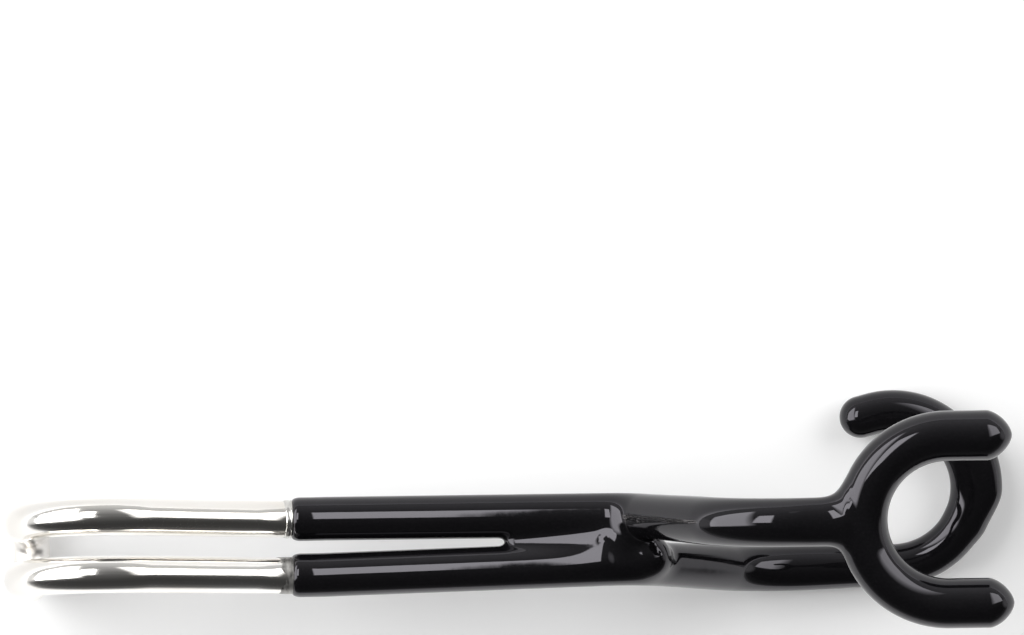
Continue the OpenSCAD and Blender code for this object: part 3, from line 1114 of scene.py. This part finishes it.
    def rough_lumps(self) -> list[bpy.types.Object]:
        """Return rough starts of the web, the saddle, the run, the prongs' ends and the curl's end."""
        s = self.sizes
        Maker.clear()
        length = s.leg_feed - s.slot_len + self.web_ahead - self.rough_end
        bpy.ops.mesh.primitive_cube_add(size=1)
        web = bpy.context.object
        web.data.transform(Matrix.Diagonal((length * MM, s.wire_gap * MM, 2 * self.web_half * MM, 1)))
        web.data.transform(in_metres(s.crotch() @ shift(self.web_ahead - length / 2, 0, 0)))
        out = [web]
        run = s.curl_frame() @ shift(s.jaw_r, 0, 0) @ turn("y", self.run_at) @ shift(
            -(s.jaw_r + s.curl_out + self.run_proud - self.run_r), 0, 0)
        balls = [(s.crotch() @ shift(*self.saddle), self.saddle_r), (run, self.run_r)]
        balls += [(s.fork_frame() @ shift(0, side * s.jaw_r, s.jaw_r + self.prong_end),
                   s.fork_out - self.rough_nose) for side in (-1, 1)]
        balls.append((self.routes[Wire.CURL].frames[-1], s.curl_out))
        for at, radius in balls:
            Maker.clear()
            bpy.ops.mesh.primitive_uv_sphere_add(segments=32, ring_count=16, radius=radius * MM)
            ball = bpy.context.object
            ball.data.transform(Matrix.Translation(at[:3, 3] * MM))
            out.append(ball)
        return out


@dataclass(frozen=True)
class PhotoCamera:
    """The main camera, set where the photograph was taken from."""

    place: tuple = (-0.039279, 0.146510, 0.599216)
    angles: tuple = (-10.7855, 1.8900, -3.4188)
    lens: float = 120.637
    sensor: float = 36.0
    shift_x: float = 0.0
    shift_y: float = 0.0

    def build(self) -> bpy.types.Object:
        """Create the camera and make it the scene's own."""
        data = bpy.data.cameras.new("photo_camera")
        data.lens = self.lens
        data.sensor_width = self.sensor
        data.sensor_fit = "AUTO"
        data.shift_x = self.shift_x
        data.shift_y = self.shift_y
        data.clip_start = 0.01
        camera = bpy.data.objects.new("photo_camera", data)
        camera.location = self.place
        camera.rotation_euler = [math.radians(a) for a in self.angles]
        bpy.context.scene.collection.objects.link(camera)
        bpy.context.scene.camera = camera
        bpy.context.view_layer.update()
        return camera

    def project(self, points: np.ndarray) -> np.ndarray:
        """Return where points in millimetres show in the image, as N by 2 image coordinates."""
        axes = np.array(Euler([math.radians(a) for a in self.angles]).to_matrix())
        x, y, z = ((points * MM - np.array(self.place)) @ axes).T
        long_side = max(IMAGE_W, IMAGE_H)
        scale = self.lens / self.sensor * long_side
        return np.stack([IMAGE_W / 2 - self.shift_x * long_side + scale * x / -z,
                         IMAGE_H / 2 + self.shift_y * long_side - scale * y / -z], axis=1)


@dataclass(frozen=True)
class Softbox:
    """A level rectangular studio lamp, known by its brightness."""

    # Power for each square metre of lamp that gives it a brightness of 1
    WATTS = 4

    name: str
    place: tuple
    size: tuple
    # Turn about the upright, in degrees
    spin: float
    brightness: float
    # Share of its width and height over which the lamp fades at each edge
    fade: tuple

    def build(self) -> bpy.types.Object:
        """Create the lamp.

        Returns:
            The lamp's object.
        """
        data = bpy.data.lights.new(self.name, "AREA")
        data.shape = "RECTANGLE"
        data.size, data.size_y = self.size
        data.energy = self.brightness * self.WATTS * data.size * data.size_y
        self.soften(data)
        lamp = bpy.data.objects.new(self.name, data)
        lamp.location = self.place
        lamp.rotation_euler = (0, 0, math.radians(self.spin))
        bpy.context.scene.collection.objects.link(lamp)
        return lamp

    def soften(self, data: bpy.types.Light) -> None:
        """Fade the lamp towards its edges, as a diffuser's cloth does."""
        data.use_nodes = True
        nodes = Nodes(data)
        parts = nodes.parts(nodes.add("ShaderNodeNewGeometry").outputs["Parametric"])
        across, up = (nodes.band(nodes.work_out("PINGPONG", parts[axis], 0.5), 0, share)
                      for axis, share in enumerate(self.fade))
        lit = nodes.work_out("MULTIPLY", across, up)
        nodes.join(lit, data.node_tree.nodes["Emission"].inputs["Strength"])


@dataclass
class Studio:
    """Plain pale floor, a soft room and three softboxes: hook side, jaw side and over the legs."""

    floor_size: float = 6.0
    floor_colour: tuple = (0.88, 0.88, 0.88)
    floor_mottling: float = 0.015
    floor_grain: Grain = Grain(3, 2)
    floor_roughness: float = 0.8
    floor_glow: float = 0.165
    boxes: tuple = (
        Softbox("hook_side_softbox", (-1.34, 0.525, 0.477), (1.80, 1.55), 14.0, 3.65, (0.07, 0.04)),
        Softbox("jaw_side_softbox", (1.01, 0.593, 0.532), (1.80, 0.886), 8.8, 2.75, (0.16, 0.06)),
        Softbox("leg_softbox", (-0.338, 0.415, 0.62), (0.245, 0.53), 0.0, 4.4, (0.10, 0.02)),
    )
    # Brightness of the room by angle across the object, in degrees from straight up towards +Y
    room: tuple = ((-90, 0.5), (-82, 0.13), (-62, 0.05), (-35, 0.04), (-15, 0.05), (10, 0.10),
                   (30, 0.17), (42, 0.25), (54, 0.33), (66, 0.46), (78, 0.58), (90, 0.62))
    # How far a direction leans towards +X or -X where the ends of the room turn bright, and how bright
    ends: tuple = (0.93, 0.98, 0.80)

    def build(self) -> bpy.types.Object:
        """Create floor, lamps and room.

        Returns:
            The floor.
        """
        bpy.context.scene.view_settings.view_transform = "Standard"
        for box in self.boxes:
            box.build()
        self.light_room()
        return self.lay_floor()

    def lay_floor(self) -> bpy.types.Object:
        """Lay the floor under the object."""
        Maker.clear()
        bpy.ops.mesh.primitive_plane_add(size=self.floor_size, location=(0, 0, 0))
        floor = bpy.context.object
        floor.name = "studio_floor"
        nodes = Nodes.material("pale studio floor")
        diffuse = nodes.add("ShaderNodeBsdfDiffuse", {"Roughness": self.floor_roughness})
        low = tuple(c * (1 - self.floor_mottling) for c in self.floor_colour)
        tone = nodes.noise(nodes.place(), self.floor_grain)
        nodes.join(nodes.blend(tone, low, self.floor_colour), diffuse.inputs["Color"])
        none, glow = (nodes.add("ShaderNodeEmission", {"Strength": strength}).outputs[0]
                      for strength in (0.0, self.floor_glow))
        path = nodes.add("ShaderNodeLightPath").outputs
        shown = nodes.work_out("MAXIMUM", path["Is Camera Ray"], path["Is Glossy Ray"])
        both = nodes.add("ShaderNodeAddShader")
        nodes.join(diffuse.outputs[0], both.inputs[0])
        nodes.join(nodes.mix(shown, none, glow), both.inputs[1])
        nodes.end(both.outputs[0])
        floor.data.materials.append(nodes.owner)
        return floor

    def light_room(self) -> None:
        """Make the room bright near the bench and dark behind the lamps, and white to the camera."""
        world = bpy.data.worlds.new("soft_room")
        bpy.context.scene.world = world
        world.use_nodes = True
        world.node_tree.nodes.clear()
        nodes = Nodes(world)
        way = nodes.parts(nodes.add("ShaderNodeTexCoord").outputs["Generated"])
        angle = nodes.work_out("ARCTAN2", way["Y"], way["Z"])
        ramp = nodes.add("ShaderNodeValToRGB")
        nodes.join(nodes.band(angle, -math.pi / 2, math.pi / 2), ramp.inputs[0])
        stops = ramp.color_ramp.elements
        while len(stops) < len(self.room):
            stops.new(0.5)
        for stop, (degrees, grey) in zip(stops, self.room):
            stop.position = (degrees + 90) / 180
            stop.color = (grey, grey, grey, 1)
        low, high, brightest = self.ends
        ends = nodes.band(nodes.work_out("ABSOLUTE", way["X"]), low, high, 0, brightest)
        room, white = (nodes.add("ShaderNodeBackground") for _ in range(2))
        nodes.join(nodes.work_out("MAXIMUM", ramp.outputs["Color"], ends), room.inputs["Color"])
        path = nodes.add("ShaderNodeLightPath").outputs["Is Camera Ray"]
        nodes.end(nodes.mix(path, room.outputs[0], white.outputs[0]), "ShaderNodeOutputWorld")


@dataclass(frozen=True)
class Reach:
    """Where a piece reaches furthest one way in the image, near its image point."""

    piece: str
    way: tuple
    # How far from the image point to look, across and up or down
    near: tuple


@dataclass
class PointReport:
    """Compares where named features show with the image points."""

    camera: PhotoCamera
    found: dict = field(default_factory=dict)
    # Depth of the edge whose vertices are averaged, in image points
    edge_depth: float = 0.25

    def edge(self, name: str, reach: Reach, points: np.ndarray) -> None:
        """Note where a piece reaches furthest.

        Args:
            name: The image point's name.
            reach: How far around that point to look, and which way.
            points: The piece's vertices, in millimetres.
        """
        seen = self.camera.project(points)
        inside = seen[(np.abs(seen - IMAGE_POINTS[name]) < reach.near).all(axis=1)]
        if len(inside):
            far = inside @ np.array(reach.way, float)
            self.found[name] = inside[far > far.max() - self.edge_depth].mean(axis=0)

    def place(self, name: str, at: np.ndarray) -> None:
        """Note where the origin of a frame shows."""
        self.found[name] = self.camera.project(at[None, :3, 3])[0]

    def write(self) -> None:
        """Work out how far each feature shows from its image point."""
        for name, (x, y) in IMAGE_POINTS.items():
            if name in self.found:
                seen = self.found[name]
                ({"dx": round(float(seen[0]) - x, 2), "dy": round(float(seen[1]) - y, 2),
                              "seen": [round(float(v), 1) for v in seen]})


def dress_cad_node(name: str, finish: Finish) -> None:
    """Give a carried-over CAD node a finish."""
    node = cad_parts[name]
    node.data.materials.clear()
    node.data.materials.append(finish.make())
    LOG.info("CAD node %s: %s", name, finish.name)


def finish_piece(piece: bpy.types.Object, finish: Finish, slot: str, replaced: str) -> None:
    """Dress a new piece, let it ride, hide the CAD node that it replaces and log its finish."""
    piece.data.materials.clear()
    piece.data.materials.append(finish.make())
    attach(piece, "root")
    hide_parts(replaced)
    LOG.info("piece %s: %s, %d vertices", piece.name, finish.name, len(piece.data.vertices))


class Holder:
    """The whole holder: its new pieces and the finishes of its CAD nodes."""

    REACHES = {
        "object_left": Reach("rod", (-1, 0), (60, 80)),
        "object_bottom": Reach("skin", (0, 1), (80, 30)),
        "object_top": Reach("skin", (0, -1), (28, 30)),
        "object_right": Reach("skin", (1, 0), (40, 35)),
        "lower_prong_tip": Reach("skin", (1, 0), (40, 35)),
        "upper_prong_tip": Reach("skin", (1, 0), (26, 21)),
        "vinyl_run": Reach("skin", (1, 0), (20, 12)),
        "fork_leg_lip": Reach("skin", (-1, 0), (31, 17)),
        "curl_leg_lip": Reach("skin", (-1, 0), (31, 20)),
        "curl_tip": Reach("skin", (-1, 0), (11, 12)),
    }
    CAD_FINISHES = {
        "fork_jaw_rod": BrightNickel("nickel under the skin", follows_rod=False),
        "fork_weld": WeldBead("fork weld bead"),
        "leg_weld": WeldBead("leg tack weld"),
        "hook_rod": BrightNickel("nickel of the replaced rod", follows_rod=False),
        "vinyl_skin": DippedVinyl("vinyl of the replaced skin"),
        "primer_bands": PrimerCoat("primer of the replaced bands"),
    }
    CLEAR_PRIMER = PrimerCoat("clear bonding primer", (0.55, 0.54, 0.52), (0.78, 0.77, 0.74), 0.95,
                              (0.12, 0.25))

    def __init__(self) -> None:
        """Settle the sizes and the skin's shape."""
        self.sizes = RodSizes()
        self.skin = VinylSkin(self.sizes)
        self.pieces: dict[str, bpy.types.Object] = {}

    def build(self) -> None:
        """Build and dress each piece, then dress the CAD nodes."""
        film = PrimerEdge(Wire.CURL, 2.2, 0.45, sizes=self.sizes)
        bead = PrimerEdge(Wire.FORK, 1.5, 0.08, ((0.6, 0.5, 0.16), (1.3, 0.2, 0.12)), self.sizes)
        for key, maker, finish, slot, replaced in (
                ("rod", Rod(self.sizes), BrightNickel(), "bright_rod", "hook_rod"),
                ("skin", self.skin, DippedVinyl(), "vinyl", "vinyl_skin"),
                ("film", film, PrimerCoat(), "primer", "primer_bands"),
                ("bead", bead, self.CLEAR_PRIMER, "primer", "primer_bands")):
            self.pieces[key] = maker.build()
            finish_piece(self.pieces[key], finish, slot, replaced)
        for name, finish in self.CAD_FINISHES.items():
            dress_cad_node(name, finish)

    def report(self, camera: PhotoCamera) -> None:
        """Compare the holder with the image points."""
        report = PointReport(camera)
        for name, reach in self.REACHES.items():
            report.edge(name, reach, Maker.vertices(self.pieces[reach.piece]))
        s = self.sizes
        x, y, z = self.skin.lump
        report.place("crotch_lump", s.crotch() @ shift(x, y, z + self.skin.lump_r))
        report.place("slot_end", s.crotch() @ shift(s.slot_len - s.leg_feed, 0, 0))
        report.place("fork_inner_back", s.fork_frame() @ shift(0, 0, s.fork_out))
        report.write()


def main() -> None:
    """Build, dress and light the holder."""
    logging.basicConfig(level=logging.INFO, format="%(message)s")
    camera = PhotoCamera()
    camera.build()
    Maker.clear()
    holder = Holder()
    holder.build()
    Studio().build()
    holder.report(camera)


if __name__ == "__main__":
    main()
